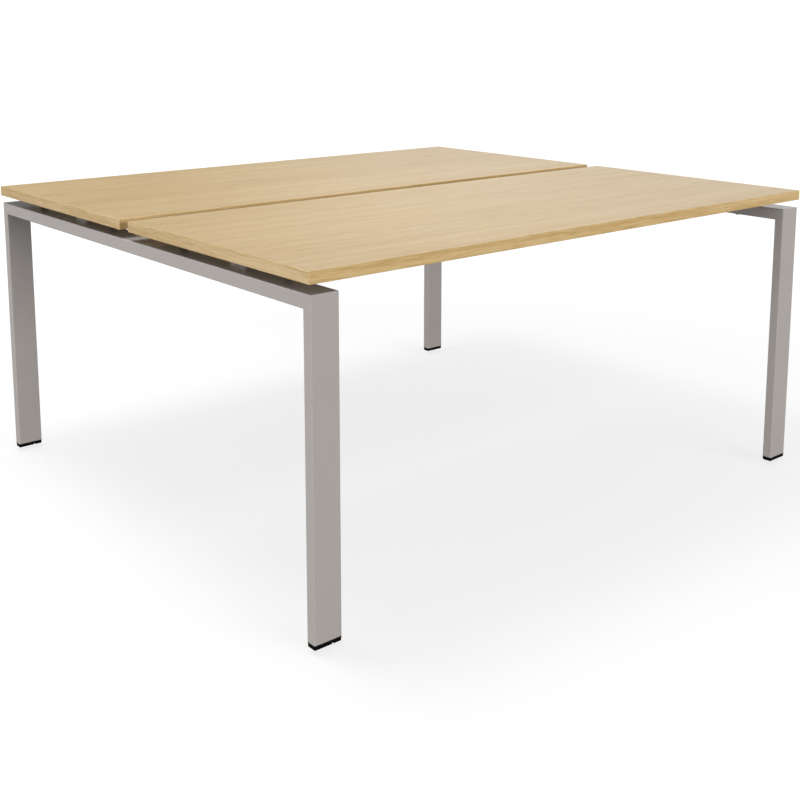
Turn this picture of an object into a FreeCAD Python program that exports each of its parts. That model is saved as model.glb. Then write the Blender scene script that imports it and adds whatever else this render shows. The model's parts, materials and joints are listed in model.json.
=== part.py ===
# Two-person bench desk: two worktops floating over a pair of portal end frames.
# Frame: X along the desk, Y from the near side to the far side, Z up, origin on the floor under the centre.

import FreeCAD
import Part
import Sketcher
import os

# Driving dimensions in millimetres
sizes = {
    # Worktops
    "length": 1600,
    "height": 740,
    "top_depth": 700,
    "top_thickness": 25,
    "cable_gap": 40,
    "edging_thickness": 2,
    "edging_round": 1.2,
    # Portal end frames
    "frame_end_inset": 4,
    "frame_side_inset": 2,
    "tube_width": 65,
    "tube_wall": 2,
    "tube_round": 2.5,
    "leg_depth": 25,
    "cross_height": 30,
    "float_gap": 20,
    # Long rails under the worktops
    "rail_width": 50,
    "rail_height": 40,
    "rail_wall": 2,
    "rail_round": 3,
    "rail_screw_pitch": 500,
    # Plates that close the rail ends and bolt to the end frames
    "plate_thickness": 5,
    "plate_ear": 40,
    "plate_margin": 4,
    "plate_relief": 0.5,
    "plate_round": 4,
    "plate_bolt_edge": 17,
    # Bolts and rivet nuts of the plates
    "bolt_diameter": 8,
    "bolt_length": 22,
    "bolt_head_diameter": 14,
    "bolt_head_height": 4.4,
    "bolt_socket_flats": 5,
    "bolt_socket_depth": 2.5,
    "bolt_clearance": 0.5,
    "rivet_diameter": 11,
    "rivet_length": 16,
    "rivet_bulge_diameter": 14,
    "rivet_bulge_length": 3,
    # Screws, threaded inserts and spacers of the worktops
    "screw_diameter": 6,
    "screw_spare": 2,
    "screw_head_diameter": 11,
    "screw_head_height": 3.3,
    "screw_socket_flats": 4,
    "screw_socket_depth": 2,
    "screw_clearance": 0.3,
    "insert_diameter": 10,
    "insert_length": 13,
    "insert_spare_depth": 1,
    "spacer_diameter": 16,
    "spacer_inset": 12,
    "spacer_edge_distance": 150,
    # Levelling feet
    "glide_height": 6,
    "glide_inset": 0.5,
    "glide_gap": 0.3,
    "glide_slope": 0.8,
    "glide_floor": 1.5,
    "glide_lip": 1.6,
    "glide_key_hole": 7,
    "notch_width": 4,
    "notch_height": 4.5,
    "notch_depth": 3,
    "notch_offset": 11,
    "stud_diameter": 8,
    "stud_length": 46,
    "stud_socket_flats": 4,
    "stud_socket_depth": 5,
    "collar_diameter": 14,
    "collar_clearance": 0.2,
    "cap_flange": 3.7,
    "plug_depth": 24,
    "plug_clearance": 0.15,
    "plug_wall": 2.5,
    "plug_core": 22,
    "plug_lead_in": 1,
    "nut_flats": 13,
    "nut_height": 6.5,
    "nut_seat": 6,
    "stud_clearance": 0.3,
    # Fits and cuts that serve every piece
    "thread_clearance": 0.1,
    "press_clearance": 0.05,
    "head_slope_share": 0.6,
    "wall_round_share": 0.7,
    "overrun": 5,
}

doc = FreeCAD.newDocument("BenchDesk")
sheet = doc.addObject("Spreadsheet::Sheet", "Desk")
for row, (alias, amount) in enumerate(sizes.items(), start=1):
    sheet.set(f"A{row}", alias)
    sheet.set(f"B{row}", str(amount))
    sheet.setAlias(f"B{row}", alias)
doc.recompute()

# Places that several pieces share, as formulas on the sheet
underside = "(Desk.height - Desk.top_thickness)"
frameTop = f"({underside} - Desk.float_gap)"
crossMiddle = f"({frameTop} - Desk.cross_height / 2)"
frameDepth = "(2 * Desk.top_depth + Desk.cable_gap - 2 * Desk.frame_side_inset)"
topCentre = "((Desk.cable_gap + Desk.top_depth) / 2)"
tubeCentre = "(Desk.length / 2 - Desk.frame_end_inset - Desk.tube_width / 2)"
innerFace = "(Desk.length / 2 - Desk.frame_end_inset - Desk.tube_width)"
legCentre = f"({frameDepth} / 2 - Desk.leg_depth / 2)"
capBase = "(Desk.glide_height + Desk.glide_gap)"
footHeight = f"({capBase} + Desk.cap_flange)"
spacerPlace = f"({innerFace} + Desk.spacer_inset)"
spacerOffset = "(Desk.top_depth / 2 - Desk.spacer_edge_distance)"
railLength = f"(2 * ({innerFace} - Desk.plate_thickness))"
boltOffset = "(Desk.rail_width / 2 + Desk.plate_ear - Desk.plate_bolt_edge)"
screwReach = "(Desk.insert_length - Desk.screw_spare)"
collarHeight = "(Desk.glide_height - Desk.glide_floor - Desk.glide_lip - 2 * Desk.collar_clearance)"
edgingRound = "min(Desk.edging_round; Desk.edging_thickness * Desk.wall_round_share)"

sides = {"left": -1, "right": 1}
ends = {"front": -1, "rear": 1}
railScrewSteps = (-1, 0, 1)
hair = 0.001
alignedShare = 0.999
nodes = []


def amountOf(formula):
    return float(sheet.evalExpression(formula))


# Document helpers

def newBody(label):
    body = doc.addObject("PartDesign::Body", label)
    body.Label = label
    body.AllowCompound = True
    nodes.append(body)
    return body


def originPlane(body, role):
    return next(item for item in body.Origin.OriginFeatures if item.Role == role)


def place(body, across="0", along="0", up="0", turn=0):
    body.Placement = FreeCAD.Placement(FreeCAD.Vector(), FreeCAD.Rotation(FreeCAD.Vector(0, 0, 1), turn))
    for axis, formula in zip("xyz", (across, along, up)):
        if formula != "0":
            body.setExpression(f"Placement.Base.{axis}", formula)


def newSketch(body, role, name, across="0", up="0", out="0"):
    sketch = body.newObject("Sketcher::SketchObject", f"{body.Label}_{name}")
    sketch.AttachmentSupport = (originPlane(body, role), "")
    sketch.MapMode = "FlatFace"
    for axis, formula in zip("xyz", (across, up, out)):
        if formula != "0":
            sketch.setExpression(f"AttachmentOffset.Base.{axis}", formula)
    return sketch


def pinPoint(sketch, curve, point, across, up):
    for kind, formula, axis in (("DistanceX", across, -2), ("DistanceY", up, -1)):
        if formula == "0":
            sketch.addConstraint(Sketcher.Constraint("PointOnObject", curve, point, axis))
        else:
            rule = Sketcher.Constraint(kind, -1, 1, curve, point, amountOf(formula))
            sketch.setExpression(f"Constraints[{sketch.addConstraint(rule)}]", formula)


def addOutline(sketch, corners):
    points = [FreeCAD.Vector(amountOf(across), amountOf(up), 0) for across, up in corners]
    lines = [sketch.addGeometry(Part.LineSegment(points[i - 1], points[i])) for i in range(len(points))]
    for i in range(len(lines)):
        sketch.addConstraint(Sketcher.Constraint("Coincident", lines[i - 1], 2, lines[i], 1))
    for line, (across, up) in zip(lines, corners):
        pinPoint(sketch, line, 2, across, up)


def addRectangle(sketch, width, height, across="0", up="0"):
    left, right = f"{across} - {width} / 2", f"{across} + {width} / 2"
    low, high = f"{up} - {height} / 2", f"{up} + {height} / 2"
    addOutline(sketch, [(left, low), (right, low), (right, high), (left, high)])


def addCircle(sketch, diameter, across="0", up="0"):
    centre = FreeCAD.Vector(amountOf(across), amountOf(up), 0)
    circle = sketch.addGeometry(Part.Circle(centre, FreeCAD.Vector(0, 0, 1), amountOf(diameter) / 2))
    pinPoint(sketch, circle, 3, across, up)
    rule = sketch.addConstraint(Sketcher.Constraint("Diameter", circle, amountOf(diameter)))
    sketch.setExpression(f"Constraints[{rule}]", diameter)


def addHexagon(sketch, flats):
    half, point, shoulder = f"{flats} / 2", f"{flats} / sqrt(3)", f"{flats} / sqrt(12)"
    addOutline(sketch, [(point, "0"), (shoulder, half), (f"-{shoulder}", half),
                        (f"-{point}", "0"), (f"-{shoulder}", f"-{half}"), (shoulder, f"-{half}")])


def pad(body, sketch, length, middle=False):
    feature = body.newObject("PartDesign::Pad", f"{sketch.Name}_pad")
    feature.Profile = sketch
    feature.setExpression("Length", length)
    feature.SideType = "Symmetric" if middle else "One side"
    doc.recompute()
    return feature


def pocket(body, sketch, depth=None, middle=False, forward=False):
    before = body.Shape.Volume
    feature = body.newObject("PartDesign::Pocket", f"{sketch.Name}_pocket")
    feature.Profile = sketch
    feature.SideType = "Symmetric" if middle else "One side"
    feature.Reversed = forward
    if depth is None:
        feature.Type = "ThroughAll"
    else:
        feature.setExpression("Length", depth)
    doc.recompute()
    if feature.Shape.Volume >= before:
        raise ValueError(f"{sketch.Name} cuts nothing")
    return feature


def turned(body, kind, sketch, axis):
    feature = body.newObject(f"PartDesign::{kind}", f"{sketch.Name}_turned")
    feature.Profile = sketch
    feature.ReferenceAxis = (sketch, [axis])
    feature.Angle = 360
    doc.recompute()
    return feature


def soften(body, feature, kind, amount, chosen):
    names = [f"Edge{i}" for i, edge in enumerate(feature.Shape.Edges, start=1) if chosen(edge)]
    softened = body.newObject(f"PartDesign::{kind}", f"{feature.Name}_soft")
    softened.Base = (feature, names)
    softened.setExpression("Radius" if kind == "Fillet" else "Size", amount)
    doc.recompute()
    return softened


def runsAlong(*direction):
    wanted = FreeCAD.Vector(*direction)

    def test(edge):
        return edge.Curve.TypeId == "Part::GeomLine" and abs(edge.Curve.Direction.dot(wanted)) > alignedShare
    return test


def liesAt(axis, place, roundOnly=False):
    def test(edge):
        level = getattr(edge.CenterOfMass, axis)
        return abs(level - place) < hair and (not roundOnly or edge.Curve.TypeId == "Part::GeomCircle")
    return test


def mirror(body, *roles):
    for role in roles:
        feature = body.newObject("PartDesign::Mirrored", f"{body.Label}_{role}")
        feature.TransformMode = "Whole shape"
        feature.MirrorPlane = (originPlane(body, role), [""])
        body.Tip = feature
        doc.recompute()


def repeatRow(body):
    pattern = body.newObject("PartDesign::LinearPattern", f"{body.Label}_row")
    pattern.TransformMode = "Whole shape"
    axis = next(item for item in body.Origin.OriginFeatures if item.Role == "X_Axis")
    pattern.Direction = (axis, [""])
    pattern.setExpression("Length", "2 * Desk.rail_screw_pitch")
    pattern.Occurrences = len(railScrewSteps)
    body.Tip = pattern
    doc.recompute()


# Worktops

# A board, drilled from below for its threaded inserts
def worktop(end, sign):
    board = newBody(f"{end}_desktop")
    outline = newSketch(board, "XY_Plane", "outline")
    addRectangle(outline, "(Desk.length - 2 * Desk.edging_thickness)",
                 "(Desk.top_depth - 2 * Desk.edging_thickness)")
    pad(board, outline, "Desk.top_thickness")
    drilled = newSketch(board, "XY_Plane", "drilled")
    drill = "Desk.insert_diameter + 2 * Desk.press_clearance"
    for side in sides.values():
        for edge in ends.values():
            addCircle(drilled, drill, f"{side} * {spacerPlace}", f"{edge} * {spacerOffset}")
    for step in railScrewSteps:
        addCircle(drilled, drill, f"{step} * Desk.rail_screw_pitch" if step else "0")
    pocket(board, drilled, "Desk.insert_length + Desk.insert_spare_depth", forward=True)
    place(board, along=f"{sign} * {topCentre}", up=underside)


# A strip of edging lies with its glued face on the local XZ plane and its show face towards -Y
def edgingStrip(label, length, cornered, across, along, turn):
    strip = newBody(label)
    section = newSketch(strip, "XY_Plane", "plan")
    near, far, outer = f"-{length} / 2", f"{length} / 2", "-Desk.edging_thickness"
    addOutline(section, [(near, outer), (far, outer), (far, "0"), (near, "0")])
    flat = pad(strip, section, "Desk.top_thickness")
    skin = -amountOf("Desk.edging_thickness")
    runsLong = runsAlong(1, 0, 0)

    def showing(edge):
        return edge.CenterOfMass.y < skin / 4 and (cornered or runsLong(edge))
    soften(strip, flat, "Fillet", edgingRound, showing)
    place(strip, across, along, underside, turn)


# The long strips run past the ends of the short ones and have rounded corners
def edging(end, sign):
    centre = f"{sign} * {topCentre}"
    longSide = "Desk.top_depth / 2 - Desk.edging_thickness"
    shortSide = "Desk.length / 2 - Desk.edging_thickness"
    between = "(Desk.top_depth - 2 * Desk.edging_thickness)"
    for edge, way in ends.items():
        edgingStrip(f"{end}_desktop_{edge}_edging", "Desk.length", True,
                    "0", f"{centre} + {way} * ({longSide})", 0 if way < 0 else 180)
    for side, way in sides.items():
        edgingStrip(f"{end}_desktop_{side}_edging", between, False,
                    f"{way} * ({shortSide})", centre, 90 * way)


# Portal end frames of mitred rectangular tube

# The top is cut on the slant from the outer corner of the portal to the inner one
def leg(end, side):
    tube = newBody(f"{end}_{side}_leg")
    profile = newSketch(tube, "YZ_Plane", "mitred_side")
    tall = f"({frameTop} - {footHeight})"
    outer, inner = "-Desk.leg_depth / 2", "Desk.leg_depth / 2"
    addOutline(profile, [(outer, "0"), (inner, "0"), (inner, f"{tall} - Desk.cross_height"), (outer, tall)])
    solid = pad(tube, profile, "Desk.tube_width", middle=True)
    soften(tube, solid, "Fillet", "Desk.tube_round", runsAlong(0, 0, 1))
    bore = newSketch(tube, "XY_Plane", "bore")
    addRectangle(bore, "(Desk.tube_width - 2 * Desk.tube_wall)", "(Desk.leg_depth - 2 * Desk.tube_wall)")
    pocket(tube, bore, forward=True)
    place(tube, f"{sides[side]} * {tubeCentre}", f"{ends[end]} * {legCentre}", footHeight,
          0 if end == "front" else 180)


# Both ends meet the legs on the same slant; the inner wall has holes for the rivet nuts
def crossRail(side):
    tube = newBody(f"{side}_cross_rail")
    profile = newSketch(tube, "YZ_Plane", "mitred_side")
    reach, half = f"{frameDepth} / 2", "Desk.cross_height / 2"
    inner = f"({reach} - Desk.leg_depth)"
    addOutline(profile, [(f"-{inner}", f"-{half}"), (inner, f"-{half}"), (reach, half), (f"-{reach}", half)])
    solid = pad(tube, profile, "Desk.tube_width", middle=True)
    soften(tube, solid, "Fillet", "Desk.tube_round", runsAlong(0, 1, 0))
    bore = newSketch(tube, "XZ_Plane", "bore")
    addRectangle(bore, "(Desk.tube_width - 2 * Desk.tube_wall)", "(Desk.cross_height - 2 * Desk.tube_wall)")
    pocket(tube, bore, middle=True)
    screwHoles = newSketch(tube, "XY_Plane", "screw_holes")
    for end in ends.values():
        for edge in ends.values():
            addCircle(screwHoles, "Desk.screw_diameter + 2 * Desk.screw_clearance",
                      "(Desk.tube_width / 2 - Desk.spacer_inset)", f"{end} * {topCentre} + {edge} * {spacerOffset}")
    pocket(tube, screwHoles, middle=True)
    rivetHoles = newSketch(tube, "YZ_Plane", "rivet_holes")
    for end in ends.values():
        for edge in ends.values():
            addCircle(rivetHoles, "Desk.rivet_diameter + 2 * Desk.press_clearance",
                      f"{end} * {topCentre} + {edge} * {boltOffset}")
    pocket(tube, rivetHoles, forward=True)
    place(tube, f"{sides[side]} * {tubeCentre}", "0", crossMiddle, 0 if side == "left" else 180)


# Long rails, end plates and what bolts them to the frames

# A tube under the middle of each worktop, whose top face carries the board
def longRail(end, sign):
    tube = newBody(f"{end}_long_rail")
    section = newSketch(tube, "YZ_Plane", "section")
    addRectangle(section, "Desk.rail_width", "Desk.rail_height")
    solid = pad(tube, section, railLength, middle=True)
    soften(tube, solid, "Fillet", "Desk.rail_round", runsAlong(1, 0, 0))
    bore = newSketch(tube, "YZ_Plane", "bore")
    addRectangle(bore, "(Desk.rail_width - 2 * Desk.rail_wall)", "(Desk.rail_height - 2 * Desk.rail_wall)")
    pocket(tube, bore, middle=True)
    screwHoles = newSketch(tube, "XY_Plane", "screw_holes")
    for step in railScrewSteps:
        addCircle(screwHoles, "Desk.screw_diameter + 2 * Desk.screw_clearance",
                  f"{step} * Desk.rail_screw_pitch" if step else "0")
    pocket(tube, screwHoles, middle=True)
    place(tube, along=f"{sign} * {topCentre}", up=f"{underside} - Desk.rail_height / 2")


# A T-shaped plate: ears on the face of the cross rail, tongue over the end of the long rail
def endPlate(end, side):
    plate = newBody(f"{end}_{side}_end_plate")
    outline = newSketch(plate, "YZ_Plane", "outline")
    ear, tongue = "(Desk.rail_width / 2 + Desk.plate_ear)", "(Desk.rail_width / 2 + Desk.plate_margin)"
    shoulder = "Desk.cross_height / 2"
    foot = f"-max({shoulder}; Desk.rail_height - Desk.float_gap - {shoulder})"
    crown = "Desk.cross_height / 2 + Desk.float_gap - Desk.plate_relief"
    addOutline(outline, [(f"-{ear}", foot), (ear, foot), (ear, shoulder), (tongue, shoulder), (tongue, crown),
                         (f"-{tongue}", crown), (f"-{tongue}", shoulder), (f"-{ear}", shoulder)])
    flat = pad(plate, outline, "Desk.plate_thickness")
    soften(plate, flat, "Fillet", "Desk.plate_round", runsAlong(1, 0, 0))
    holes = newSketch(plate, "YZ_Plane", "bolt_holes")
    for edge in ends.values():
        addCircle(holes, "Desk.bolt_diameter + 2 * Desk.bolt_clearance", f"{edge} * {boltOffset}")
    pocket(plate, holes, middle=True)
    inward = f"{sides[side]} * {innerFace}"
    place(plate, inward, f"{ends[end]} * {topCentre}", crossMiddle, 0 if side == "left" else 180)


# Button-head bolts, two at each end of a long rail, with their heads on the end plates
def railBolts(end, sign):
    bolts = newBody(f"{end}_rail_bolts")
    profile = newSketch(bolts, "XZ_Plane", "profile", f"-({innerFace} - Desk.plate_thickness)", "0",
                        boltOffset)
    headRadius, shankRadius = "Desk.bolt_head_diameter / 2", "Desk.bolt_diameter / 2"
    rise, tip = "Desk.bolt_head_height", "-Desk.bolt_length"
    addOutline(profile, [(rise, "0"), (rise, headRadius), ("0", headRadius),
                         ("0", shankRadius), (tip, shankRadius), (tip, "0")])
    blank = turned(bolts, "Revolution", profile, "H_Axis")
    crown = liesAt("x", blank.Shape.BoundBox.XMax, roundOnly=True)
    soften(bolts, blank, "Chamfer", "Desk.bolt_head_height * Desk.head_slope_share", crown)
    socket = newSketch(bolts, "YZ_Plane", "socket", f"-{boltOffset}", "0",
                       f"-({innerFace} - Desk.plate_thickness) + Desk.bolt_head_height")
    addHexagon(socket, "Desk.bolt_socket_flats")
    pocket(bolts, socket, "Desk.bolt_socket_depth")
    mirror(bolts, "YZ_Plane", "XZ_Plane")
    place(bolts, along=f"{sign} * {topCentre}", up=crossMiddle)


# Set rivet nuts: a sleeve through the wall of the cross rail, bulged behind it
def rivetNuts(end, sign):
    nuts = newBody(f"{end}_rail_rivet_nuts")
    profile = newSketch(nuts, "XZ_Plane", "profile", f"-{innerFace}", "0", boltOffset)
    bore = "Desk.bolt_diameter / 2 + Desk.thread_clearance"
    sleeve, bulge = "Desk.rivet_diameter / 2", "Desk.rivet_bulge_diameter / 2"
    behind = "-Desk.tube_wall"
    addOutline(profile, [("0", bore), ("0", sleeve), (behind, sleeve), (behind, bulge),
                         (f"{behind} - Desk.rivet_bulge_length", bulge),
                         (f"{behind} - Desk.rivet_bulge_length", sleeve),
                         ("-Desk.rivet_length", sleeve), ("-Desk.rivet_length", bore)])
    turned(nuts, "Revolution", profile, "H_Axis")
    mirror(nuts, "YZ_Plane", "XZ_Plane")
    place(nuts, along=f"{sign} * {topCentre}", up=crossMiddle)


# Screws, inserts and spacers that hold the worktops

# A button-head screw pointing up, with the seat of its head at the origin plane
def screwBlank(screws, reach, across, along):
    profile = newSketch(screws, "XZ_Plane", "profile", across, "0", f"-({along})")
    headRadius, shankRadius = "Desk.screw_head_diameter / 2", "Desk.screw_diameter / 2"
    drop = "-Desk.screw_head_height"
    addOutline(profile, [("0", drop), (headRadius, drop), (headRadius, "0"), (shankRadius, "0"),
                         (shankRadius, reach), ("0", reach)])
    blank = turned(screws, "Revolution", profile, "V_Axis")
    crown = liesAt("z", blank.Shape.BoundBox.ZMin, roundOnly=True)
    soften(screws, blank, "Chamfer", "Desk.screw_head_height * Desk.head_slope_share", crown)
    socket = newSketch(screws, "XY_Plane", "socket", across, along, drop)
    addHexagon(socket, "Desk.screw_socket_flats")
    pocket(screws, socket, "Desk.screw_socket_depth", forward=True)


# Up through a cross rail and a spacer into the board
def cornerScrews(end, sign):
    screws = newBody(f"{end}_corner_screws")
    screwBlank(screws, f"Desk.cross_height + Desk.float_gap + {screwReach}", spacerPlace, spacerOffset)
    mirror(screws, "YZ_Plane", "XZ_Plane")
    place(screws, along=f"{sign} * {topCentre}", up=f"{frameTop} - Desk.cross_height")


# Up through a long rail into the board
def railScrews(end, sign):
    screws = newBody(f"{end}_rail_screws")
    screwBlank(screws, f"Desk.rail_height + {screwReach}", "-Desk.rail_screw_pitch", "0")
    repeatRow(screws)
    place(screws, along=f"{sign} * {topCentre}", up=f"{underside} - Desk.rail_height")


def sleeveProfile(body, bore, outside, tall, across, along):
    profile = newSketch(body, "XZ_Plane", "profile", across, "0", f"-({along})")
    addOutline(profile, [(f"{bore} / 2", "0"), (f"{outside} / 2", "0"),
                         (f"{outside} / 2", tall), (f"{bore} / 2", tall)])
    turned(body, "Revolution", profile, "V_Axis")


def inserts(end, sign):
    bore = "(Desk.screw_diameter + 2 * Desk.thread_clearance)"
    corner = newBody(f"{end}_corner_inserts")
    sleeveProfile(corner, bore, "Desk.insert_diameter", "Desk.insert_length", spacerPlace, spacerOffset)
    mirror(corner, "YZ_Plane", "XZ_Plane")
    row = newBody(f"{end}_rail_inserts")
    sleeveProfile(row, bore, "Desk.insert_diameter", "Desk.insert_length", "-Desk.rail_screw_pitch", "0")
    repeatRow(row)
    for body in (corner, row):
        place(body, along=f"{sign} * {topCentre}", up=underside)


def spacers(end, sign):
    group = newBody(f"{end}_spacers")
    bore = "(Desk.screw_diameter + 2 * Desk.screw_clearance)"
    sleeveProfile(group, bore, "Desk.spacer_diameter", "Desk.float_gap", spacerPlace, spacerOffset)
    mirror(group, "YZ_Plane", "XZ_Plane")
    place(group, along=f"{sign} * {topCentre}", up=frameTop)


# Levelling feet

# A moulded plug in the end of the leg: rim, two open cells and a core that traps the nut
def footCap(end, side):
    cap = newBody(f"{end}_{side}_foot_cap")
    rim = newSketch(cap, "XY_Plane", "rim")
    addRectangle(rim, "Desk.tube_width", "Desk.leg_depth")
    flange = pad(cap, rim, "Desk.cap_flange")
    soften(cap, flange, "Fillet", "Desk.tube_round", runsAlong(0, 0, 1))
    plugWidth = "(Desk.tube_width - 2 * Desk.tube_wall - 2 * Desk.plug_clearance)"
    plugDepth = "(Desk.leg_depth - 2 * Desk.tube_wall - 2 * Desk.plug_clearance)"
    section = newSketch(cap, "XY_Plane", "plug", out="Desk.cap_flange")
    addRectangle(section, plugWidth, plugDepth)
    plug = pad(cap, section, "Desk.plug_depth")
    leadIn = "min(Desk.plug_lead_in; Desk.plug_wall * Desk.wall_round_share)"
    soften(cap, plug, "Chamfer", leadIn, liesAt("z", plug.Shape.BoundBox.ZMax))
    cells = newSketch(cap, "XY_Plane", "cells", out="Desk.cap_flange")
    cellWidth = f"(({plugWidth} - Desk.plug_core) / 2 - Desk.plug_wall)"
    for way in sides.values():
        addRectangle(cells, cellWidth, f"({plugDepth} - 2 * Desk.plug_wall)",
                     f"{way} * (Desk.plug_core + {cellWidth}) / 2")
    pocket(cap, cells, forward=True)
    nutSeat = newSketch(cap, "XY_Plane", "nut_seat", out="Desk.nut_seat")
    addHexagon(nutSeat, "(Desk.nut_flats + 2 * Desk.thread_clearance)")
    pocket(cap, nutSeat, forward=True)
    bore = newSketch(cap, "XY_Plane", "stud_bore")
    addCircle(bore, "Desk.stud_diameter + 2 * Desk.stud_clearance")
    pocket(cap, bore, forward=True)
    place(cap, f"{sides[side]} * {tubeCentre}", f"{ends[end]} * {legCentre}", capBase)


# The shoe on the floor: a closed seat holds the collar of the stud, so the shoe rises and falls with it
def glide(end, side):
    shoe = newBody(f"{end}_{side}_glide")
    plan = newSketch(shoe, "XY_Plane", "plan")
    width, depth = "(Desk.tube_width - 2 * Desk.glide_inset)", "(Desk.leg_depth - 2 * Desk.glide_inset)"
    addRectangle(plan, width, depth)
    block = pad(shoe, plan, "Desk.glide_height")
    upright = soften(shoe, block, "Fillet", "Desk.tube_round", runsAlong(0, 0, 1))
    soften(shoe, upright, "Chamfer", "Desk.glide_slope", liesAt("z", 0))
    notches = newSketch(shoe, "XY_Plane", "notches")
    for way in (-1, 1):
        addRectangle(notches, "Desk.notch_width", "2 * Desk.notch_depth",
                     f"{-way} * Desk.notch_offset", f"{way} * {depth} / 2")
    pocket(shoe, notches, "Desk.notch_height", forward=True)
    seat = newSketch(shoe, "XZ_Plane", "collar_seat")
    keyRadius = "Desk.glide_key_hole / 2"
    seatRadius = "(Desk.collar_diameter / 2 + Desk.collar_clearance)"
    neckRadius = "(Desk.stud_diameter / 2 + Desk.stud_clearance)"
    roof = "(Desk.glide_height - Desk.glide_lip)"
    crown = "(Desk.glide_height + Desk.overrun)"
    addOutline(seat, [("0", "-Desk.overrun"), (keyRadius, "-Desk.overrun"), (keyRadius, "Desk.glide_floor"),
                      (seatRadius, "Desk.glide_floor"), (seatRadius, roof), (neckRadius, roof),
                      (neckRadius, crown), ("0", crown)])
    turned(shoe, "Groove", seat, "V_Axis")
    place(shoe, f"{sides[side]} * {tubeCentre}", f"{ends[end]} * {legCentre}")


# The levelling stud, turned by a key from below
def stud(end, side):
    screw = newBody(f"{end}_{side}_stud")
    profile = newSketch(screw, "XZ_Plane", "profile")
    collar, shank = "Desk.collar_diameter / 2", "Desk.stud_diameter / 2"
    addOutline(profile, [("0", "0"), (collar, "0"), (collar, collarHeight),
                         (shank, collarHeight), (shank, "Desk.stud_length"), ("0", "Desk.stud_length")])
    turned(screw, "Revolution", profile, "V_Axis")
    socket = newSketch(screw, "XY_Plane", "socket")
    addHexagon(socket, "Desk.stud_socket_flats")
    pocket(screw, socket, "Desk.stud_socket_depth", forward=True)
    place(screw, f"{sides[side]} * {tubeCentre}", f"{ends[end]} * {legCentre}",
          "Desk.glide_floor + Desk.collar_clearance")


def footNuts():
    nuts = newBody("foot_nuts")
    section = newSketch(nuts, "XY_Plane", "section", tubeCentre, legCentre)
    addHexagon(section, "Desk.nut_flats")
    addCircle(section, "Desk.stud_diameter + 2 * Desk.thread_clearance")
    pad(nuts, section, "Desk.nut_height")
    mirror(nuts, "YZ_Plane", "XZ_Plane")
    place(nuts, up=f"{capBase} + Desk.nut_seat")


# Assembly

for end, sign in ends.items():
    worktop(end, sign)
    edging(end, sign)
    longRail(end, sign)
    railBolts(end, sign)
    rivetNuts(end, sign)
    cornerScrews(end, sign)
    railScrews(end, sign)
    inserts(end, sign)
    spacers(end, sign)
    for side in sides:
        leg(end, side)
        endPlate(end, side)
        footCap(end, side)
        glide(end, side)
        stud(end, side)
for side in sides:
    crossRail(side)
footNuts()
doc.recompute()

# Every object is sound before anything is written
for item in doc.Objects:
    if "Invalid" in item.State or "Error" in item.State:
        raise ValueError(f"{item.Label} did not build")
for body in nodes:
    if body.Shape.isNull() or not body.Shape.isValid():
        raise ValueError(f"{body.Label} has no sound shape")

os.makedirs("parts", exist_ok=True)
for body in nodes:
    body.Shape.exportStep(os.path.join("parts", f"{body.Label}.step"))
print(f"{len(nodes)} pieces written")
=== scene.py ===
# Bench desk for two: finishes, fasteners, feet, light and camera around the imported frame
import bmesh
import bpy
import json
import math
from mathutils import Matrix, Vector


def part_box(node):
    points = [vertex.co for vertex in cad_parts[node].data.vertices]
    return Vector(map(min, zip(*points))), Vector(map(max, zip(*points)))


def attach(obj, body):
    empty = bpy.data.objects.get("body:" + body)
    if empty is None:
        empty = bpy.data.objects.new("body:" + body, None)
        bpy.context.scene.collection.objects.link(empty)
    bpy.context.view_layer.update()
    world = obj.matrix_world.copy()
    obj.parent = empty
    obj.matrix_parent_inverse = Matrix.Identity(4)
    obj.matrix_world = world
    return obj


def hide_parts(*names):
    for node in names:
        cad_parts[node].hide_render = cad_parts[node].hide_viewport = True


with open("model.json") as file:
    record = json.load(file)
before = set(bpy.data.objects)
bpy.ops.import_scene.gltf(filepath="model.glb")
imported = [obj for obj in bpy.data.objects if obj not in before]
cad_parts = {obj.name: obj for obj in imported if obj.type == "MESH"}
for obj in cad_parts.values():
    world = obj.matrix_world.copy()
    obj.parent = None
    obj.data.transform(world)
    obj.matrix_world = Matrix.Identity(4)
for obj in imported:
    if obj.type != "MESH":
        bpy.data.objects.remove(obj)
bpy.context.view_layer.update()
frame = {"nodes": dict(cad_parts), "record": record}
nodes = frame["nodes"]
mm = 0.001
ends = {"front": -1, "rear": 1}
sides = {"left": -1, "right": 1}


# Shader nodes

class Wire:    # the output of a node; sums on it add Math nodes
    def __init__(self, sheet, socket):
        self.sheet = sheet
        self.socket = socket

    def __add__(self, other):
        return self.sheet.maths("ADD", self, other)

    def __radd__(self, other):
        return self.sheet.maths("ADD", other, self)

    def __sub__(self, other):
        return self.sheet.maths("SUBTRACT", self, other)

    def __rsub__(self, other):
        return self.sheet.maths("SUBTRACT", other, self)

    def __mul__(self, other):
        return self.sheet.maths("MULTIPLY", self, other)

    def __rmul__(self, other):
        return self.sheet.maths("MULTIPLY", other, self)

    def __gt__(self, other):
        return self.sheet.maths("GREATER_THAN", self, other)

    def __abs__(self):
        return self.sheet.maths("ABSOLUTE", self, 0)

    def __or__(self, other):    # the larger of two masks
        return self.sheet.maths("MAXIMUM", self, other)


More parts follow.
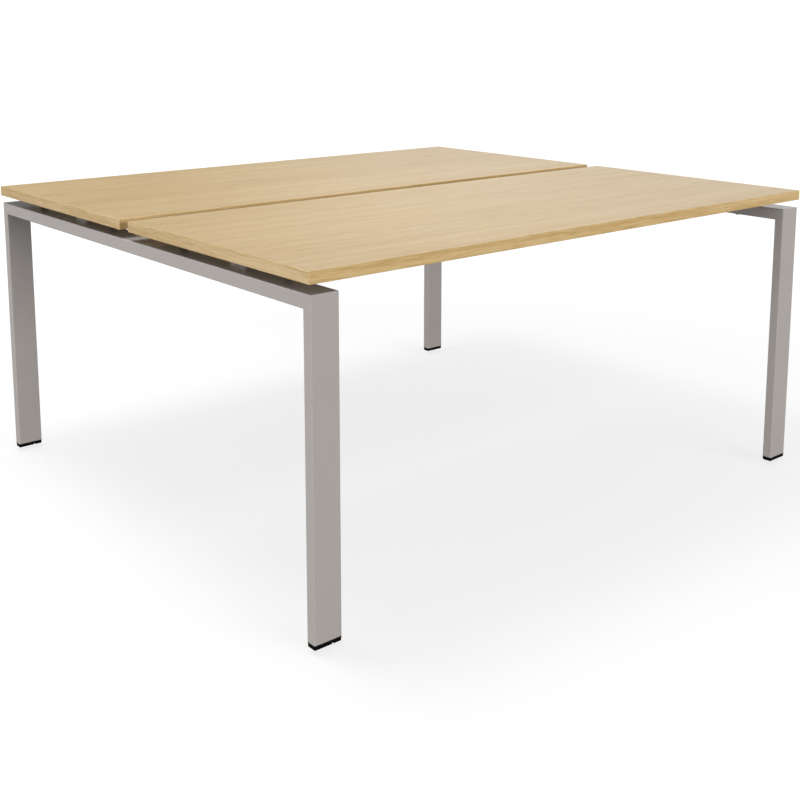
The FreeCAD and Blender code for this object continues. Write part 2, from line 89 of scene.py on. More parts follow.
class NodeSheet:    # the node tree of one material or of the world
    def __init__(self, owner):
        owner.use_nodes = True
        self.owner = owner
        self.tree = owner.node_tree
        self.tree.nodes.clear()

    def node(self, kind, settings=None, sockets=None, out=0):
        made = self.tree.nodes.new(kind)
        for name, value in (settings or {}).items():
            if name == "stops":
                for extra in range(len(value) - 2):
                    made.color_ramp.elements.new(0.5)
                for stop, (place, colour) in zip(made.color_ramp.elements, value):
                    stop.position = place
                    stop.color = (*colour, 1)
            else:
                setattr(made, name, value)
        for name, value in (sockets or {}).items():
            if isinstance(value, Wire):
                self.tree.links.new(value.socket, made.inputs[name])
            else:
                made.inputs[name].default_value = value
        return Wire(self, made.outputs[out]) if made.outputs else None

    def maths(self, operation, first, second):
        return self.node("ShaderNodeMath", {"operation": operation}, {0: first, 1: second})

    def mix(self, share, first, second, how="MIX"):
        first, second = ((*c, 1) if isinstance(c, tuple) else c for c in (first, second))
        return self.node("ShaderNodeMix", {"data_type": "RGBA", "blend_type": how},
                         {0: share, 6: first, 7: second}, out=2)

    def ease(self, value, low, high):    # 0 below low, 1 above high, smooth between
        return self.node("ShaderNodeMapRange", {"interpolation_type": "SMOOTHSTEP"},
                         {"Value": value, "From Min": low, "From Max": high})

    def place(self):
        return self.node("ShaderNodeTexCoord", out="Object")

    def axis(self, letter):    # one of the Object coordinates
        return self.node("ShaderNodeSeparateXYZ", {}, {"Vector": self.place()}, out=letter)

    def noise(self, place, size, detail=2.0, roughness=0.5, shift=(0, 0, 0)):
        grid = self.node("ShaderNodeMapping", {}, {"Vector": place, "Location": shift,
                                                   "Scale": tuple(1 / extent for extent in size)})
        return self.node("ShaderNodeTexNoise", {}, {"Vector": grid, "Scale": 1.0, "Detail": detail,
                                                    "Roughness": roughness})

    def bump(self, height, relief):    # relief is a depth in metres and a strength
        depth, strength = relief
        return self.node("ShaderNodeBump", {}, {"Height": height, "Distance": depth, "Strength": strength})

    def surface(self, sockets):
        shader = self.node("ShaderNodeBsdfPrincipled", {}, sockets)
        self.node("ShaderNodeOutputMaterial", {}, {"Surface": shader})
        return self.owner


def newSheet(name):
    return NodeSheet(bpy.data.materials.new(name))


# Finishes

oak = {
    "deep": (0.500, 0.335, 0.138),
    "middle": (0.590, 0.418, 0.196),
    "pale": (0.665, 0.498, 0.265),
    "stops": (0.12, 0.48, 0.86),    # where those three tones sit
    "pore": (0.340, 0.205, 0.085),
    # layers of the print, each with its length and width in metres
    "bands": {"size": (1.9, 0.060), "detail": 3.0, "roughness": 0.55, "weight": 0.7},
    "streaks": {"size": (0.42, 0.012), "detail": 3.0, "roughness": 0.60, "weight": 0.9},
    "flecks": {"size": (0.055, 0.0028), "detail": 2.0, "roughness": 0.60, "weight": 1.1},
    "fibres": {"size": (0.030, 0.0009), "detail": 2.0, "roughness": 0.60, "weight": 0.6},
    "pores": {"size": (0.011, 0.00042), "detail": 1.0, "roughness": 0.50},
    "poreEdge": (0.60, 0.72),
    "poreStreaks": (0.62, 0.40),    # pores thin out over the pale streaks
    "poreDepth": 0.45,
    "waver": 0.010,                 # how far the grain wanders sideways
    "waverSize": (0.70, 0.30, 0.30),
    "gloss": 0.30,
    "dull": 0.75,                   # the underside
    "smearSize": (0.23, 0.16, 0.20),
    "roughBy": {"smears": 0.10, "fibres": 0.12, "pores": 0.15},
    "sheen": 0.34,
    "relief": (0.06 * mm, 0.6),
    "jointLine": 0.3 * mm,          # hairline where the board meets its edging
    "jointDepth": 0.55,
}


# The printed grain runs along X or Y; turned swaps them, and shift picks another part of the print
def oakGrain(sheet, turned, shift, contrast=1.0):
    place = sheet.place()
    if turned:
        place = sheet.node("ShaderNodeMapping", {}, {"Vector": place, "Rotation": (0, 0, math.pi / 2)})
    wander = (sheet.noise(place, oak["waverSize"], 1.0, shift=shift) - 0.5) * oak["waver"]
    sideways = sheet.node("ShaderNodeCombineXYZ", {}, {"Y": wander, "Z": wander})
    place = sheet.node("ShaderNodeVectorMath", {"operation": "ADD"}, {0: place, 1: sideways})

    def layer(name):
        length, width = oak[name]["size"]
        return sheet.noise(place, (length, width, width), oak[name]["detail"], oak[name]["roughness"], shift)
    layers = {name: layer(name) for name in ("bands", "streaks", "flecks", "fibres")}
    tone = 0.5
    for name, amount in layers.items():
        tone = tone + (amount - 0.5) * (oak[name]["weight"] * contrast)
    stops = list(zip(oak["stops"], (oak["deep"], oak["middle"], oak["pale"])))
    printed = sheet.node("ShaderNodeValToRGB", {"stops": stops}, {"Fac": tone}, out="Color")
    pores = sheet.ease(layer("pores"), *oak["poreEdge"]) * sheet.ease(layers["streaks"], *oak["poreStreaks"])
    colour = sheet.mix(pores * oak["poreDepth"], printed, oak["pore"])
    return colour, layers["fibres"], pores


def oakLaminate(name, end, shift):
    sheet = newSheet(name)
    colour, fibres, pores = oakGrain(sheet, False, shift)
    low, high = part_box(f"{end}_desktop")
    across = abs(sheet.axis("Y") - (low.y + high.y) / 2)
    joint = abs(sheet.axis("X")) > high.x - oak["jointLine"]
    joint = joint | (across > (high.y - low.y) / 2 - oak["jointLine"])
    colour = sheet.mix(joint * oak["jointDepth"], colour, oak["pore"])
    above = sheet.axis("Z") > low.z + mm
    smears = sheet.noise(sheet.place(), oak["smearSize"], 3.0, 0.55, shift)
    by = oak["roughBy"]
    rough = oak["dull"] + above * (oak["gloss"] - oak["dull"])
    rough = rough + (smears - 0.5) * by["smears"] + (fibres - 0.5) * by["fibres"] + pores * by["pores"]
    return sheet.surface({"Base Color": colour, "Roughness": rough, "Specular IOR Level": oak["sheen"],
                          "Normal": sheet.bump(fibres * 0.35 - pores, oak["relief"])})


edging = {
    # painted light in part: long and short strips are one edging with two tints, which besides the strips'
    # own tone make up for how differently the lamps light the long sides and the ends
    "longTintAndPaintedLight": (1.11, 1.07, 1.00),     # the long strips look deeper than the boards; the tint also brightens them as painted light
    "shortTintAndPaintedLight": (1.09, 1.11, 1.23),
    "contrast": 1.5,                    # of the grain, against the boards
    "lip": (1.4 * mm, 0.5 * mm),        # the tint, painted light included, fades out between these depths below the top
    "gloss": 0.40,
    "roughBy": {"fibres": 0.15, "pores": 0.10},
    "sheen": 0.35,
    "relief": (0.05 * mm, 0.6),
}


# The tint passed in is partly painted light: it brightens and colours each set of strips for the light on the
# faces they turn to
def oakEdging(name, turned, tint, shift):
    sheet = newSheet(name)
    colour, fibres, pores = oakGrain(sheet, turned, shift, edging["contrast"])
    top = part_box("front_desktop")[1].z
    lip = sheet.ease(sheet.axis("Z"), *[top - depth for depth in edging["lip"]])
    # painted light in part: the strips' tint, which also stands in for the light on their faces, multiplies
    # the grain below the lip
    colour = sheet.mix(1 - lip, colour, tint, how="MULTIPLY")
    by = edging["roughBy"]
    rough = edging["gloss"] + (fibres - 0.5) * by["fibres"] + pores * by["pores"]
    return sheet.surface({"Base Color": colour, "Roughness": rough, "Specular IOR Level": edging["sheen"],
                          "Normal": sheet.bump(fibres * 0.4 - pores, edging["relief"])})


silver = {
    "colour": (0.520, 0.480, 0.453),
    "flake": (0.660, 0.618, 0.590),
    "flakeEdge": (0.52, 0.78),
    "flakeDepth": 0.5,
    "cloud": (0.30, 0.29, 0.285),
    "cloudSize": 0.12,
    "cloudDepth": 0.22,
    "scuff": (0.20, 0.195, 0.19),
    "scuffSize": (0.05, 0.05, 0.0012),
    "scuffEdge": (0.66, 0.80),
    "scuffDepth": 0.25,
    "scuffReach": (0.160, 0.032),    # heights on the legs where shoes start to rub and rub most
    "metal": 0.10,
    "gloss": 0.15,
    "roughBy": {"cloud": 0.10, "grain": 0.08, "scuffs": 0.12},
    "peelSize": 3.2 * mm,            # soft waves of the powder coat
    "grainSize": 0.55 * mm,
    "relief": (0.04 * mm, 0.7),
}


def silverPaint(name):
    sheet = newSheet(name)
    place = sheet.place()
    peel = sheet.noise(place, (silver["peelSize"],) * 3, 2.0)
    grain = sheet.noise(place, (silver["grainSize"],) * 3, 1.0)
    cloud = sheet.noise(place, (silver["cloudSize"],) * 3, 3.0, 0.6)
    flakes = sheet.ease(grain, *silver["flakeEdge"])
    scuffs = sheet.ease(sheet.noise(place, silver["scuffSize"], 3.0, 0.6), *silver["scuffEdge"])
    scuffs = scuffs * sheet.ease(sheet.axis("Z"), *silver["scuffReach"])
    colour = sheet.mix(flakes * silver["flakeDepth"], silver["colour"], silver["flake"])
    colour = sheet.mix(cloud * silver["cloudDepth"], colour, silver["cloud"])
    colour = sheet.mix(scuffs * silver["scuffDepth"], colour, silver["scuff"])
    by = silver["roughBy"]
    rough = silver["gloss"] + (cloud - 0.5) * by["cloud"] + (grain - 0.5) * by["grain"]
    rough = rough + scuffs * by["scuffs"]
    return sheet.surface({"Base Color": colour, "Roughness": rough, "Metallic": silver["metal"],
                          "Normal": sheet.bump(peel + grain * 0.25, silver["relief"])})


plastic = {
    "colour": (0.002, 0.002, 0.002),
    "dust": (0.010, 0.0095, 0.009),
    "gloss": 0.55,
    "sheen": 0.08,
    "sparkSize": 0.7 * mm,    # eroded texture of the mould
    "relief": (0.08 * mm, 0.6),
    "dustSize": (0.012, 0.012, 0.008),
    "dustEdge": (0.45, 0.75),
    "dustDepth": 0.35,
    "roughBy": {"dust": 0.20, "spark": 0.15},
}


def blackPlastic(name):
    sheet = newSheet(name)
    place = sheet.place()
    spark = sheet.noise(place, (plastic["sparkSize"],) * 3, 2.0, 0.6)
    dust = sheet.ease(sheet.noise(place, plastic["dustSize"], 4.0, 0.6), *plastic["dustEdge"])
    colour = sheet.mix(dust * plastic["dustDepth"], plastic["colour"], plastic["dust"])
    by = plastic["roughBy"]
    rough = plastic["gloss"] + dust * by["dust"] + (spark - 0.5) * by["spark"]
    return sheet.surface({"Base Color": colour, "Roughness": rough, "Specular IOR Level": plastic["sheen"],
                          "Normal": sheet.bump(spark, plastic["relief"])})


zinc = {
    "colour": (0.60, 0.61, 0.62),
    "tint": (0.52, 0.54, 0.58),
    "gloss": 0.30,
    "bloomSize": 6 * mm,
    "bloomEdge": (0.35, 0.70),
    "scratchSize": (0.4 * mm, 0.4 * mm, 4 * mm),
    "roughBy": {"bloom": 0.25, "scratch": 0.15},
    "relief": (0.02 * mm, 0.5),
}


def zincPlate(name):
    sheet = newSheet(name)
    place = sheet.place()
    bloom = sheet.noise(place, (zinc["bloomSize"],) * 3, 3.0, 0.6)
    scratch = sheet.noise(place, zinc["scratchSize"], 2.0, 0.6)
    colour = sheet.mix(sheet.ease(bloom, *zinc["bloomEdge"]), zinc["colour"], zinc["tint"])
    by = zinc["roughBy"]
    rough = zinc["gloss"] + (bloom - 0.5) * by["bloom"] + (scratch - 0.5) * by["scratch"]
    return sheet.surface({"Base Color": colour, "Roughness": rough, "Metallic": 1.0,
                          "Normal": sheet.bump(scratch, zinc["relief"])})


paint = silverPaint("silver_paint")
moulded = blackPlastic("black_plastic")
plated = zincPlate("zinc_plate")
finishes = {"silver_paint": paint, "black_plastic": moulded, "zinc_steel": plated}
for number, end in enumerate(ends):
    shift = (3.1 * number, 5.7 * number, 0)
    finishes[f"{end}_desktop"] = oakLaminate(f"{end}_oak_laminate", end, shift)
# long strips and end strips get copies of one edging with different tints, partly painted light
finishes["long"] = oakEdging("oak_edging_long", False, edging["longTintAndPaintedLight"], (1.3, 2.9, 0.4))
finishes["short"] = oakEdging("oak_edging_short", True, edging["shortTintAndPaintedLight"], (4.3, 1.9, 0.7))
for piece in frame["record"]["subparts"]:
    node, slot = piece["node"], piece["material_slot"]
    if slot == "oak_laminate":
        finish = finishes[node]
    elif slot == "oak_edging":
        finish = finishes["short" if node.endswith(("left_edging", "right_edging")) else "long"]
    else:
        finish = finishes[slot]
    for place in nodes[node].material_slots:
        place.material = finish
print("finishes:", len(bpy.data.materials))


# Modelling by hand

mergeGap = 0.002 * mm     # points nearer than this become one
cutGap = 0.0001 * mm      # how near a cutting plane takes a point as its own
levelGap = 0.001 * mm     # points this near to a height lie on it
smoothAngle = 40          # degrees; sharper edges stay crisp


def hold(piece):    # this object alone is selected and active
    bpy.ops.object.select_all(action="DESELECT")
    piece.select_set(True)
    bpy.context.view_layer.objects.active = piece


def primitive(name, add, **options):
    bpy.ops.object.select_all(action="DESELECT")
    add(**options)
    piece = bpy.context.object
    piece.name = name
    bpy.ops.object.transform_apply(location=True, rotation=True, scale=True)
    return piece


def choose(kind, test):    # selects verts, edges or faces of the piece in edit mode
    bpy.ops.mesh.select_mode(type={"verts": "VERT", "edges": "EDGE", "faces": "FACE"}[kind])
    bpy.ops.mesh.select_all(action="DESELECT")
    mesh = bmesh.from_edit_mesh(bpy.context.object.data)
    for item in getattr(mesh, kind):
        if test(item):
            item.select_set(True)
    bmesh.update_edit_mesh(bpy.context.object.data)


def upright(edge):
    return abs((edge.verts[0].co - edge.verts[1].co).normalized().z) > 0.99


def rimEdge(edge, level):    # lies at this height and borders a side face
    onLevel = all(abs(vert.co.z - level) < levelGap for vert in edge.verts)
    return onLevel and any(abs(face.normal.z) < 0.5 for face in edge.link_faces)


def applyModifier(piece, kind, **settings):
    hold(piece)
    modifier = piece.modifiers.new(kind.lower(), kind)
    for name, value in settings.items():
        setattr(modifier, name, value)
    bpy.ops.object.modifier_apply(modifier=modifier.name)


def combine(piece, other, operation):
    applyModifier(piece, "BOOLEAN", object=other, operation=operation, solver="EXACT")
    bpy.data.objects.remove(other)


def drawLine(name, points):    # a line of vertices in the XZ plane, from (radius, height) pairs
    piece = primitive(name, bpy.ops.mesh.primitive_plane_add, size=mm)
    bpy.ops.object.mode_set(mode="EDIT")
    bpy.ops.mesh.select_mode(type="VERT")
    bpy.ops.mesh.select_all(action="SELECT")
    bpy.ops.mesh.merge(type="CENTER")
    bpy.ops.transform.translate(value=(points[0][0], 0, points[0][1]))
    for (r0, z0), (r1, z1) in zip(points, points[1:]):
        bpy.ops.mesh.extrude_region_move(TRANSFORM_OT_translate={"value": (r1 - r0, 0, z1 - z0)})
    bpy.ops.object.mode_set(mode="OBJECT")
    return piece


def quarterTurn(steps):    # angles from 0 to 90 degrees
    return [step / steps * math.pi / 2 for step in range(steps + 1)]


def turned(name, points, steps):    # spins a profile about Z
    piece = drawLine(name, points)
    bpy.ops.object.mode_set(mode="EDIT")
    bpy.ops.mesh.select_all(action="SELECT")
    bpy.ops.mesh.spin(steps=steps, angle=math.tau, center=(0, 0, 0), axis=(0, 0, 1))
    bpy.ops.mesh.select_all(action="SELECT")
    bpy.ops.mesh.remove_doubles(threshold=mergeGap)
    bpy.ops.mesh.normals_make_consistent(inside=False)
    bpy.ops.object.mode_set(mode="OBJECT")
    return piece


thread = {"crestShare": 0.125, "rootShare": 0.25, "depthShare": 0.6134, "tipShare": 0.6, "steps": 20,
          "spareTurns": 1.5}    # cut away again at each end


# A screw thread about Z between two heights, with a tapered lead at the top
def threadedRod(name, diameter, pitch, low, high):
    outer = diameter / 2
    inner = outer - thread["depthShare"] * pitch
    flank = (1 - thread["crestShare"] - thread["rootShare"]) / 2
    start = low - thread["spareTurns"] * pitch
    tooth = [(inner, 0), (inner, thread["rootShare"]), (outer, thread["rootShare"] + flank),
             (outer, 1 - flank), (inner, 1)]
    rod = drawLine(name, [(radius, start + pitch * share) for radius, share in tooth])
    lead = pitch * thread["tipShare"]
    turns = math.ceil((high - low) / pitch + 2 * thread["spareTurns"])
    applyModifier(rod, "SCREW", axis="Z", angle=math.tau, screw_offset=pitch, iterations=turns,
                  steps=thread["steps"], render_steps=thread["steps"], use_merge_vertices=True,
                  merge_threshold=mergeGap)
    bpy.ops.object.mode_set(mode="EDIT")
    for level, below in ((low, True), (high - lead, False)):
        bpy.ops.mesh.select_all(action="SELECT")
        bpy.ops.mesh.remove_doubles(threshold=mergeGap)
        bpy.ops.mesh.bisect(plane_co=(0, 0, level), plane_no=(0, 0, 1), use_fill=True, threshold=cutGap,
                            clear_inner=below, clear_outer=not below)
    choose("faces", lambda face: all(vert.co.z > high - lead - levelGap for vert in face.verts))
    bpy.ops.mesh.extrude_region_move(TRANSFORM_OT_translate={"value": (0, 0, lead)})
    bpy.ops.transform.resize(value=(inner / outer, inner / outer, 1), center_override=(0, 0, high))
    bpy.ops.mesh.select_all(action="SELECT")
    bpy.ops.mesh.normals_make_consistent(inside=False)
    bpy.ops.object.mode_set(mode="OBJECT")
    return rod


def hexCutter(flats, low, high):
    return primitive("cutter", bpy.ops.mesh.primitive_cylinder_add, vertices=6, radius=flats / math.sqrt(3),
                     depth=high - low, location=(0, 0, (low + high) / 2), rotation=(0, 0, math.pi / 6))


buttonHead = {"rimShare": 0.12, "flatShare": 0.42, "rootShare": 0.3, "domeSteps": 8, "steps": 32}


# A button head whose seat lies at z = 0, its shank pointing up
def buttonScrew(name, spec):
    head, rise, length = spec["headDiameter"] / 2, spec["headHeight"], spec["length"]
    rim = rise * buttonHead["rimShare"]
    flat = head * buttonHead["flatShare"]
    dome = [(flat + (head - flat) * math.sin(angle), -rim - (rise - rim) * math.cos(angle))
            for angle in quarterTurn(buttonHead["domeSteps"])]
    piece = turned(name, [(0, -rise), *dome, (head, 0), (0, 0)], buttonHead["steps"])
    root = -rise * buttonHead["rootShare"]    # the shank starts inside the head
    combine(piece, threadedRod("shank", spec["diameter"], spec["pitch"], root, length), "UNION")
    combine(piece, hexCutter(spec["socketFlats"], -rise - mm, -rise + spec["socketDepth"]), "DIFFERENCE")
    return piece


def copyTo(piece, matrix):
    twin = piece.copy()
    twin.data = piece.data.copy()
    bpy.context.scene.collection.objects.link(twin)
    twin.matrix_world = matrix
    hold(twin)
    bpy.ops.object.transform_apply(location=True, rotation=True, scale=True)
    return twin


def joinAll(name, pieces):
    hold(pieces[0])
    for piece in pieces:
        piece.select_set(True)
    if len(pieces) > 1:
        bpy.ops.object.join()
    whole = bpy.context.object
    whole.name = name
    return whole


def finishPiece(piece, finish, slot, body, *replaced):
    hold(piece)
    bpy.ops.object.shade_smooth_by_angle(angle=math.radians(smoothAngle))
    piece.data.materials.clear()
    piece.data.materials.append(finish)
    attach(piece, body)
    if replaced:
        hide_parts(*replaced)


def placed(x, y, z, turn=None):
    return Matrix.Translation((x, y, z)) @ (turn or Matrix.Identity(4))


# Fasteners

worktopScrew = {"diameter": 6 * mm, "pitch": 1 * mm, "headDiameter": 11 * mm, "headHeight": 3.3 * mm,
                "socketFlats": 4 * mm, "socketDepth": 2 * mm}
railBolt = {"diameter": 8 * mm, "pitch": 1.25 * mm, "headDiameter": 14 * mm, "headHeight": 4.4 * mm,
            "socketFlats": 5 * mm, "socketDepth": 2.5 * mm}


def screwGroup(node, spec, columns, rows):
    low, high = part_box(node)
    reach = spec["headDiameter"] / 2
    seat = low.z + spec["headHeight"]
    screw = buttonScrew("screw", {**spec, "length": high.z - seat})
    spots = [(low.x + reach + (high.x - low.x - 2 * reach) * i / (columns - 1),
              low.y + reach + (high.y - low.y - 2 * reach) * j / max(rows - 1, 1))
             for i in range(columns) for j in range(rows)]
    copies = [copyTo(screw, placed(x, y, seat)) for x, y in spots]
    bpy.data.objects.remove(screw)
    finishPiece(joinAll(f"{node}_threaded", copies), plated, "zinc_steel", "desk_frame", node)


def boltGroup(node, spec):
    low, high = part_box(node)
    reach = spec["headDiameter"] / 2
    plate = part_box("front_left_end_plate")[1].x     # the face that the heads seat on, at the left
    bolt = buttonScrew("bolt", {**spec, "length": plate - low.x})
    copies = []
    for side in sides.values():
        outward = Matrix.Rotation(side * math.pi / 2, 4, "Y")
        for y in (low.y + reach, high.y - reach):
            copies.append(copyTo(bolt, placed(-side * plate, y, (low.z + high.z) / 2, outward)))
    bpy.data.objects.remove(bolt)
    finishPiece(joinAll(f"{node}_threaded", copies), plated, "zinc_steel", "desk_frame", node)


for end in ends:
    screwGroup(f"{end}_corner_screws", worktopScrew, 2, 2)
    screwGroup(f"{end}_rail_screws", worktopScrew, 3, 1)
    boltGroup(f"{end}_rail_bolts", railBolt)
print("fasteners done")


# Spacers under the worktops

spacer = {"bore": 6.6 * mm, "round": 1.2 * mm, "bendSteps": 4, "steps": 36, "insertDiameter": 10 * mm}


def spacerGroup(node):
    low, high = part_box(node)
    tall = high.z - low.z
    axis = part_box("front_corner_inserts")[1].x - spacer["insertDiameter"] / 2    # shared with the insert
    outer = high.x - axis
    bore, edge = spacer["bore"] / 2, spacer["round"]
    bend = [(outer - edge + edge * math.sin(angle), edge - edge * math.cos(angle))
            for angle in quarterTurn(spacer["bendSteps"])]
    upper = [(radius, tall - height) for radius, height in reversed(bend)]
    sleeve = turned("spacer", [(bore, 0), *bend, *upper, (bore, tall), (bore, 0)], spacer["steps"])
    spots = [(x, y) for x in (low.x + outer, high.x - outer) for y in (low.y + outer, high.y - outer)]
    copies = [copyTo(sleeve, placed(x, y, low.z)) for x, y in spots]
    bpy.data.objects.remove(sleeve)
    finishPiece(joinAll(f"{node}_rounded", copies), moulded, "black_plastic", "desk_frame", node)


for end in ends:
    spacerGroup(f"{end}_spacers")


# Welds between the long rails and their end plates

weld = {"reach": 3.2 * mm, "pitch": 2.6 * mm, "swell": 1.14, "shoulder": 1.095, "facets": 20,
        "inset": 3 * mm, "mergeGap": 0.01 * mm}


def weldBead(length):    # rippled quarter fillet from the origin along +X, between +Y and +Z
    count = max(2, round(length / weld["pitch"]))
    step = length / count
    bead = primitive("bead", bpy.ops.mesh.primitive_cylinder_add, vertices=weld["facets"],
                     radius=weld["reach"] / weld["swell"], depth=step, end_fill_type="NOTHING",
                     rotation=(0, math.pi / 2, 0), location=(step / 2, 0, 0))
    bpy.ops.object.mode_set(mode="EDIT")
    choose("edges", lambda edge: abs(edge.verts[0].co.x - edge.verts[1].co.x) > step * 0.5)
    bpy.ops.mesh.subdivide(number_cuts=3)
    for offset, growth in ((0, weld["swell"]), (step / 4, weld["shoulder"])):
        choose("verts", lambda vert: abs(abs(vert.co.x - step / 2) - offset) < step * 0.1)
        bpy.ops.transform.resize(value=(1, growth, growth), center_override=(step / 2, 0, 0))
    bpy.ops.object.mode_set(mode="OBJECT")
    applyModifier(bead, "ARRAY", count=count, use_relative_offset=False, use_constant_offset=True,
                  constant_offset_displace=(step, 0, 0), use_merge_vertices=True,
                  merge_threshold=weld["mergeGap"])
    bpy.ops.object.mode_set(mode="EDIT")
    bpy.ops.mesh.select_all(action="SELECT")
    bpy.ops.mesh.fill_holes(sides=0)
    for wall in ((0, 1, 0), (0, 0, 1)):
        bpy.ops.mesh.select_all(action="SELECT")
        bpy.ops.mesh.bisect(plane_co=(0, 0, 0), plane_no=wall, use_fill=True, clear_inner=True,
                            threshold=cutGap)
    bpy.ops.object.mode_set(mode="OBJECT")
    return bead


def laidBead(bead, start, along, first, second):    # a copy with its X, Y and Z on these directions
    turn = Matrix((along, first, second)).transposed().to_4x4()
    return copyTo(bead, Matrix.Translation(start) @ turn)


def railWelds(end):
    low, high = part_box(f"{end}_long_rail")
    inset = weld["inset"]
    across, up = Vector((0, 1, 0)), Vector((0, 0, 1))
    tallBead, wideBead = [weldBead(span - 2 * inset) for span in (high.z - low.z, high.y - low.y)]
    beads = []
    for face, inward in ((low.x, Vector((1, 0, 0))), (high.x, Vector((-1, 0, 0)))):
        beads.append(laidBead(tallBead, (face, low.y, low.z + inset), up, -across, inward))
        beads.append(laidBead(tallBead, (face, high.y, low.z + inset), up, across, inward))
        beads.append(laidBead(wideBead, (face, low.y + inset, low.z), across, -up, inward))
    bpy.data.objects.remove(tallBead)
    bpy.data.objects.remove(wideBead)
    welds = joinAll(f"{end}_rail_welds", beads)
    bpy.ops.object.mode_set(mode="EDIT")
    bpy.ops.mesh.select_all(action="SELECT")
    bpy.ops.mesh.normals_make_consistent(inside=False)    # some of the copies are mirrored
    bpy.ops.object.mode_set(mode="OBJECT")
    finishPiece(welds, paint, "silver_paint", "desk_frame")


for end in ends:
    railWelds(end)
print("spacers and welds done")


# Levelling feet

levelStud = {"diameter": 8 * mm, "pitch": 1.25 * mm, "collar": 14 * mm, "collarHeight": 2.5 * mm,
             "collarRound": 0.35 * mm, "socketFlats": 4 * mm, "socketDepth": 5 * mm, "steps": 36}
shoe = {"cornerRound": 2.5 * mm, "cornerSteps": 6, "soleRound": 0.8 * mm, "soleSteps": 3,
        "topRound": 0.45 * mm, "topSteps": 2, "notchWidth": 4 * mm, "notchHeight": 4.5 * mm,
        "notchDepth": 9 * mm, "notchOffset": 11 * mm, "keyHole": 7 * mm, "seatFloor": 1.5 * mm,
        "seatRoof": 4.4 * mm, "seatDiameter": 14.4 * mm, "neckDiameter": 8.6 * mm, "steps": 40}


def makeStud(height):
    collar, edge = levelStud["collar"] / 2, levelStud["collarRound"]
    tall = levelStud["collarHeight"]
    stud = turned("stud", [(0, 0), (collar - edge, 0), (collar, edge), (collar, tall - edge),
                           (collar - edge, tall), (0, tall)], levelStud["steps"])
    rod = threadedRod("rod", levelStud["diameter"], levelStud["pitch"], tall * 0.5, height)
    combine(stud, rod, "UNION")
    combine(stud, hexCutter(levelStud["socketFlats"], -mm, levelStud["socketDepth"]), "DIFFERENCE")
    return stud


# A flat moulded shoe with a notch on each long side and a closed seat for the collar
def makeShoe(width, depth, height):
    body = primitive("shoe", bpy.ops.mesh.primitive_cube_add, size=1, location=(0, 0, height / 2),
                     scale=(width, depth, height))
    bpy.ops.object.mode_set(mode="EDIT")
    choose("edges", upright)
    bpy.ops.mesh.bevel(offset=shoe["cornerRound"], segments=shoe["cornerSteps"])
    choose("edges", lambda edge: rimEdge(edge, 0))
    bpy.ops.mesh.bevel(offset=shoe["soleRound"], segments=shoe["soleSteps"])
    choose("edges", lambda edge: rimEdge(edge, height))
    bpy.ops.mesh.bevel(offset=shoe["topRound"], segments=shoe["topSteps"])
    bpy.ops.object.mode_set(mode="OBJECT")
    for way in ends.values():
        cut = primitive("cutter", bpy.ops.mesh.primitive_cube_add, size=1,
                        location=(-way * shoe["notchOffset"], way * depth / 2, shoe["notchHeight"] / 2 - mm),
                        scale=(shoe["notchWidth"], 2 * shoe["notchDepth"], shoe["notchHeight"] + 2 * mm))
        combine(body, cut, "DIFFERENCE")
    key, seat, neck = shoe["keyHole"] / 2, shoe["seatDiameter"] / 2, shoe["neckDiameter"] / 2
    hollow = turned("cutter", [(0, -mm), (key, -mm), (key, shoe["seatFloor"]), (seat, shoe["seatFloor"]),
                               (seat, shoe["seatRoof"]), (neck, shoe["seatRoof"]), (neck, height + mm),
                               (0, height + mm)], shoe["steps"])
    combine(body, hollow, "DIFFERENCE")
    return body


studLow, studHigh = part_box("front_left_stud")
shoeLow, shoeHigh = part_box("front_left_glide")
stud = makeStud(studHigh.z - studLow.z)
sole = makeShoe(*(shoeHigh - shoeLow))
footParts = ((stud, "stud", "threaded_stud", plated, "zinc_steel"),
             (sole, "glide", "moulded_shoe", moulded, "black_plastic"))
for end in ends:
    for side in sides:
        for pattern, part, newName, finish, slot in footParts:
            node = f"{end}_{side}_{part}"
            low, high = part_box(node)
            twin = copyTo(pattern, placed((low.x + high.x) / 2, (low.y + high.y) / 2, low.z))
            twin.name = f"{end}_{side}_{newName}"
            finishPiece(twin, finish, slot, node, node)
bpy.data.objects.remove(stud)
bpy.data.objects.remove(sole)
print("feet done")


# Stage, light and camera

studio = {
    "floorDrop": 10.5 * mm,       # the feet reach this far down when they are wound out
    "floorSize": 60.0,
    "floorColour": (0.86, 0.86, 0.86),
    "bounceColour": (0.12, 0.12, 0.12),
    "shadowShare": 0.34,
    "shadowReach": (1.4, 3.2),    # the shadow fades out between these distances
    "floorGlow": 1.12,
    "ambient": (0.42, 0.42, 0.42),
    "backdrop": (1, 1, 1),
    "mirrored": 0.8,              # how much of the white surroundings glossy faces show
    "floorMirrored": 0.3,         # and of the white floor
}
lamps = {
    "topSoftbox": {"place": (-0.9, 0.5, 4.0), "aim": (-0.7, 0.3, 0.7), "size": (1.6, 1.6), "power": 78},
    "sideSoftbox": {"place": (-10.0, -0.3, 1.3), "aim": (-0.6, 0, 0.5), "size": (6.0, 2.2), "power": 520},
    "frontSoftbox": {"place": (1.6, -9.5, 2.0), "aim": (0.3, 0, 0.5), "size": (6.4, 2.4), "power": 500},
}
flag = {"place": (1.6, 8.2, 2.6), "size": (12.2, 0.02, 5.4), "dark": (0.24, 0.24, 0.24),
        "pale": (0.8, 0.8, 0.8), "fade": (2.9, 7.2)}    # dark to pale along X, so the sheen fades to the left
view = {"lens": 53.04, "place": (-2.0082, -2.4165, 1.1870), "yaw": 39.866, "pitch": 9.252,
        "shift": (0.0025, -0.235)}


def seenDirectly(sheet, mirrored):    # 1 for camera rays, a share of it for reflections
    rays = [sheet.node("ShaderNodeLightPath", out=kind) for kind in ("Is Camera Ray", "Is Glossy Ray")]
    return rays[0] | rays[1] * mirrored


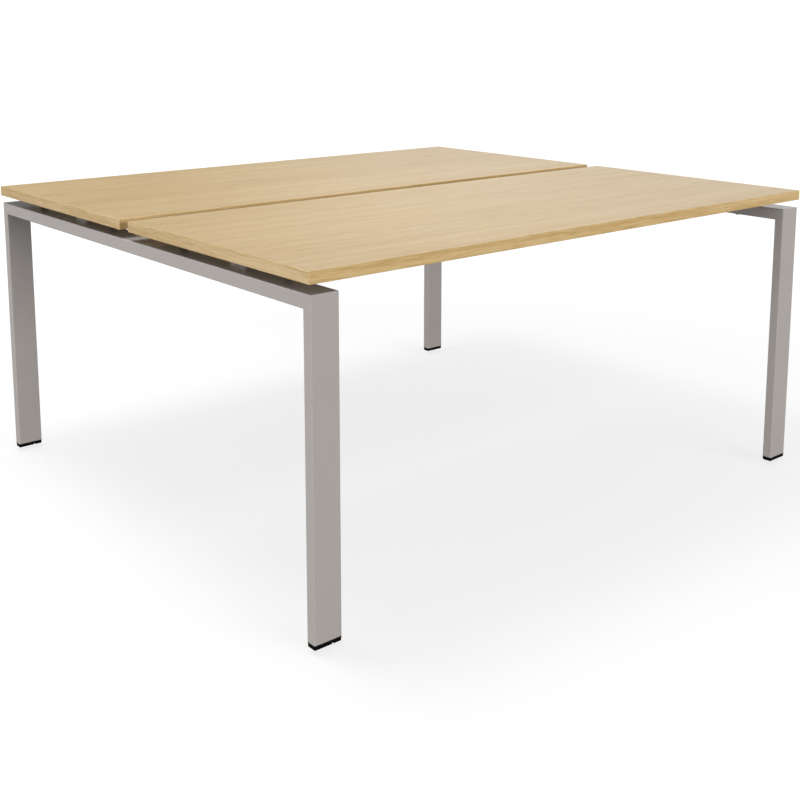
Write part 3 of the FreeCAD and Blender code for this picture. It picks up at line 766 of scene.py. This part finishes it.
def makeFloor():
    floor = primitive("floor", bpy.ops.mesh.primitive_plane_add, size=studio["floorSize"],
                      location=(0, 0, -studio["floorDrop"]))
    sheet = newSheet("pale_floor")
    away = sheet.node("ShaderNodeVectorMath", {"operation": "LENGTH"}, {0: sheet.place()}, out="Value")
    near = 1 - sheet.ease(away, *studio["shadowReach"])
    matt = sheet.node("ShaderNodeBsdfDiffuse", {}, {"Color": (*studio["floorColour"], 1)})
    dull = sheet.node("ShaderNodeBsdfDiffuse", {}, {"Color": (*studio["bounceColour"], 1)})
    white = sheet.node("ShaderNodeEmission", {}, {"Strength": studio["floorGlow"]})
    white = sheet.node("ShaderNodeMixShader", {}, {0: near * studio["shadowShare"], 1: white, 2: matt})
    direct = seenDirectly(sheet, studio["floorMirrored"])
    shader = sheet.node("ShaderNodeMixShader", {}, {0: direct, 1: dull, 2: white})
    sheet.node("ShaderNodeOutputMaterial", {}, {"Surface": shader})
    floor.data.materials.append(sheet.owner)


# A dark card that only the reflections see
def makeFlag():
    card = primitive("flag", bpy.ops.mesh.primitive_cube_add, size=1, location=flag["place"],
                     scale=flag["size"])
    sheet = newSheet("flag_cloth")
    fade = sheet.ease(sheet.axis("X"), *flag["fade"])
    cloth = sheet.node("ShaderNodeEmission", {}, {"Color": sheet.mix(fade, flag["dark"], flag["pale"])})
    sheet.node("ShaderNodeOutputMaterial", {}, {"Surface": cloth})
    card.data.materials.append(sheet.owner)
    card.visible_camera = card.visible_diffuse = card.visible_shadow = False


def makeWorld():
    world = bpy.data.worlds.new("studio")
    bpy.context.scene.world = world
    sheet = NodeSheet(world)
    colour = sheet.mix(seenDirectly(sheet, studio["mirrored"]), studio["ambient"], studio["backdrop"])
    light = sheet.node("ShaderNodeBackground", {}, {"Color": colour})
    sheet.node("ShaderNodeOutputWorld", {}, {"Surface": light})


def makeLamps():
    for name, lamp in lamps.items():
        light = bpy.data.lights.new(name, "AREA")
        light.shape = "RECTANGLE"
        light.size, light.size_y = lamp["size"]
        light.energy = lamp["power"]
        holder = bpy.data.objects.new(name, light)
        holder.location = lamp["place"]
        towards = Vector(lamp["aim"]) - Vector(lamp["place"])
        holder.rotation_euler = towards.to_track_quat("-Z", "Y").to_euler()
        holder.visible_camera = False
        holder.visible_glossy = name == "topSoftbox"    # the low ones would glare in the worktops
        bpy.context.scene.collection.objects.link(holder)


def makeCamera():
    camera = bpy.data.objects.new("camera", bpy.data.cameras.new("camera"))
    camera.data.lens = view["lens"]
    camera.data.shift_x, camera.data.shift_y = view["shift"]
    camera.location = view["place"]
    camera.rotation_euler = (math.radians(90 - view["pitch"]), 0, math.radians(-view["yaw"]))
    bpy.context.scene.collection.objects.link(camera)
    bpy.context.scene.camera = camera


makeFloor()
makeFlag()
makeWorld()
makeLamps()
makeCamera()
bpy.context.scene.view_settings.view_transform = "Standard"
print("stage, light and camera done")
